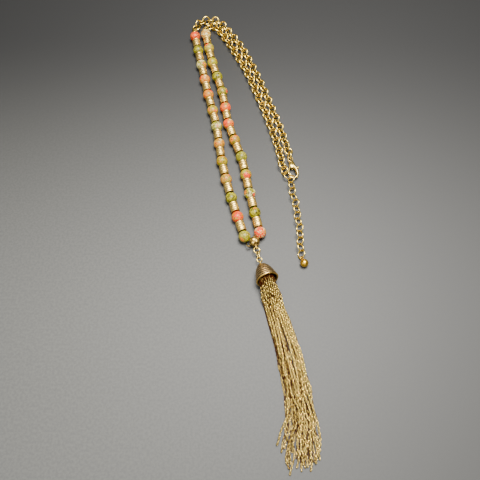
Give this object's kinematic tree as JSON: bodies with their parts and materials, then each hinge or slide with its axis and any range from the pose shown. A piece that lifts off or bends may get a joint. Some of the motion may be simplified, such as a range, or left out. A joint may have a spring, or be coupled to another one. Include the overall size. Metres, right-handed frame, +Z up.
{
  "type": "tassel necklace",
  "caption": "Long necklace of round mottled stones and barrel spacers on round-link chain, with a lobster clasp, extender and a chain tassel under a bell cap.",
  "frame": {"origin": "on the surface the necklace lies on, under the middle of its outline", "axes": "+X to the right, +Y from the tassel to the neck end, +Z up from the surface"},
  "size_m": [0.0644, 0.2571, 0.0106],
  "materials": {
    "coral_stone": "polished stone, mottled",
    "peach_stone": "polished stone, mottled",
    "amber_stone": "polished stone, mottled",
    "olive_stone": "polished stone, mottled",
    "sage_stone": "polished stone, mottled",
    "champagne_metal": "cast, satin",
    "gold_metal": "antique gold plate",
    "dark_gold_metal": "dark antique gold plate"
  },
  "bodies": {
    "necklace": {"left_stone_01": "olive_stone", "left_stone_02": "coral_stone", "left_stone_03": "olive_stone", "left_stone_04": "peach_stone", "left_stone_05": "olive_stone", "left_stone_06": "amber_stone", "left_stone_07": "sage_stone", "left_stone_08": "olive_stone", "left_stone_09": "amber_stone", "left_stone_10": "amber_stone", "left_stone_11": "peach_stone", "left_stone_12": "sage_stone", "left_stone_13": "coral_stone", "right_stone_01": "coral_stone", "right_stone_02": "olive_stone", "right_stone_03": "sage_stone", "right_stone_04": "olive_stone", "right_stone_05": "olive_stone", "right_stone_06": "amber_stone", "right_stone_07": "peach_stone", "right_stone_08": "coral_stone", "right_stone_09": "peach_stone", "right_stone_10": "olive_stone", "right_stone_11": "olive_stone", "right_stone_12": "coral_stone", "right_stone_13": "peach_stone", "left_spacers": "champagne_metal", "right_spacers": "champagne_metal", "left_wire": "gold_metal", "right_wire": "gold_metal", "left_crimp": "gold_metal", "right_crimp": "gold_metal", "lower_crimp": "gold_metal", "junction_bead": "champagne_metal", "drop_ring": "gold_metal", "drop_link": "gold_metal", "cap_ring": "gold_metal", "cap_eye": "gold_metal", "tassel_cap": "dark_gold_metal", "tassel": "gold_metal", "left_chain": "gold_metal", "right_chain": "gold_metal", "end_ring": "gold_metal", "clasp_body": "gold_metal", "extender_chain": "gold_metal", "extender_ball": "gold_metal"},
    "clasp_lever": {"clasp_lever": "gold_metal"}
  },
  "joints": [
    {"name": "clasp_lever_hinge", "type": "hinge", "parent": "necklace", "child": "clasp_lever", "pos_m": [0.02519, 0.02035, 0.0022], "axis": [0, 0, 1], "range_deg": [0, 26], "stiffness_Nm_per_rad": 0.0004, "springref_deg": -11.46}
  ]
}
